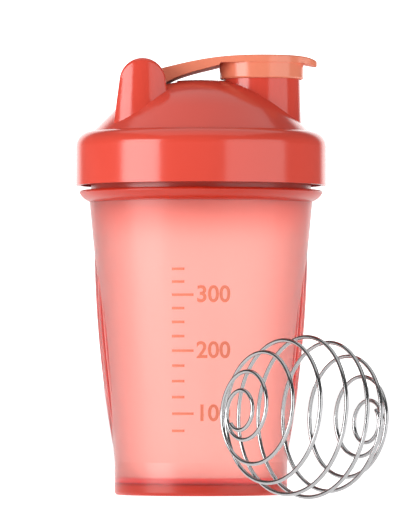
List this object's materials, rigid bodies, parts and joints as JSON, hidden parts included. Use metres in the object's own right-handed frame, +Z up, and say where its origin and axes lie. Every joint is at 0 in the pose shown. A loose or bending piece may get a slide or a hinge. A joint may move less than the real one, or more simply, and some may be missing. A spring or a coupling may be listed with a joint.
{
  "type": "protein shaker bottle",
  "caption": "Tapered translucent plastic shaker cup with a screw lid, a round drinking spout closed by a hinged flip cap, and a loose wire whisk ball beside it.",
  "frame": {"origin": "centre of the cup's foot, on the surface that it stands on", "axes": "+Z up along the cup's axis; +X from the hinge post to the spout; -Y to the side where the whisk ball stands"},
  "size_m": [0.1212, 0.1652, 0.1738],
  "materials": {
    "cup": "frosted translucent polypropylene",
    "lid": "glossy moulded polypropylene",
    "flip_cap": "glossy moulded polypropylene",
    "lid_seal": "soft matt silicone",
    "whisk_ball": "polished stainless steel wire"
  },
  "bodies": {
    "cup": {"cup": "cup"},
    "lid_seal": {"lid_seal": "lid_seal"},
    "lid": {"lid": "lid"},
    "flip_cap": {"flip_cap": "flip_cap"},
    "whisk_ball": {"whisk_ball": "whisk_ball"}
  },
  "joints": [
    {"name": "lid_rise", "type": "slide", "parent": "cup", "child": "lid_seal", "axis": [0, 0, 1], "range_m": [0, 0.00551]},
    {"name": "lid_turn", "type": "hinge", "parent": "lid_seal", "child": "lid", "pos_m": [0, 0, 0.14], "axis": [0, 0, 1], "range_deg": [0, 396]},
    {"name": "cap_hinge", "type": "hinge", "parent": "lid", "child": "flip_cap", "pos_m": [-0.023, 0, 0.16303], "axis": [0, -1, 0], "range_deg": [0, 135]},
    {"name": "whisk_lift", "type": "slide", "parent": "cup", "child": "whisk_ball", "axis": [0, 0, 1], "range_m": [0, 0.12]}
  ],
  "couplings": [
    {"joint": "lid_rise", "follows": "lid_turn", "m_per_rad": 0.00079577}
  ]
}
